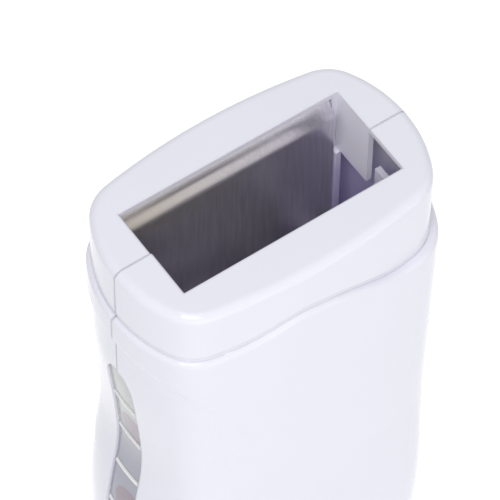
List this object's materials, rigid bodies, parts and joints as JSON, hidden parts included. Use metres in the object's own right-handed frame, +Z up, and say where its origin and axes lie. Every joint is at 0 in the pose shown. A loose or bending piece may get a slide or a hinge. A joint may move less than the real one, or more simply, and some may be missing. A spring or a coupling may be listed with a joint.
{
  "type": "roll-on wax heater",
  "caption": "Hand-held heater for a roll-on wax cartridge: white two-half case with an open heated chamber, a level window on one end, a rocker switch and a mains inlet.",
  "frame": {"origin": "on the ground under the middle of the body", "axes": "+Z up towards the chamber's mouth, -Y the front with the switch, -X the end with the level window"},
  "size_m": [0.0791, 0.0513, 0.165],
  "materials": {
    "case": "glossy white moulded plastic",
    "window": "clear moulded plastic",
    "rubber": "matt soft rubber",
    "steel": "zinc-plated steel",
    "liner": "brushed anodised aluminium sheet",
    "cradle": "heat-proof moulded plastic",
    "aluminium": "extruded aluminium",
    "film": "amber insulating film",
    "contacts": "bright stamped brass",
    "ceramic": "grey fired ceramic with silvered faces",
    "mica": "pressed mica sheet",
    "fuse": "drawn metal can",
    "switch": "black moulded plastic",
    "rocker": "glossy black moulded plastic",
    "lens": "clear red plastic",
    "led": "tinted clear resin",
    "board": "green solder resist",
    "lead_brown": "brown insulation",
    "lead_white": "white glass-fibre sleeve",
    "lead_blue": "blue insulation"
  },
  "bodies": {
    "housing": {"front_shell": "case", "rear_shell": "case", "level_window": "window", "base_cover": "case", "base_feet": "rubber", "base_screws": "steel", "case_screws": "steel", "heater_liner": "liner", "liner_cradle": "cradle", "heater_sleeve": "aluminium", "insulating_film": "film", "electrode_plates": "contacts", "ptc_tiles": "ceramic", "mica_pad": "mica", "pressure_plate": "steel", "plate_screws": "steel", "thermostat": "steel", "thermal_fuse": "fuse", "switch_housing": "switch", "switch_terminals": "contacts", "indicator_lens": "lens", "indicator_led": "led", "indicator_board": "board", "board_screw": "steel", "inlet_body": "switch", "inlet_pins": "contacts", "live_lead": "lead_brown", "switched_lead": "lead_brown", "link_lead": "lead_white", "heater_lead": "lead_white", "neutral_lead": "lead_blue", "indicator_leads": "lead_white"},
    "rocker": {"switch_rocker": "rocker"}
  },
  "joints": [
    {"name": "rocker_pivot", "type": "hinge", "parent": "housing", "child": "rocker", "pos_m": [0, -0.0221, 0.034], "axis": [-1, 0, 0], "range_deg": [0, 18]}
  ]
}
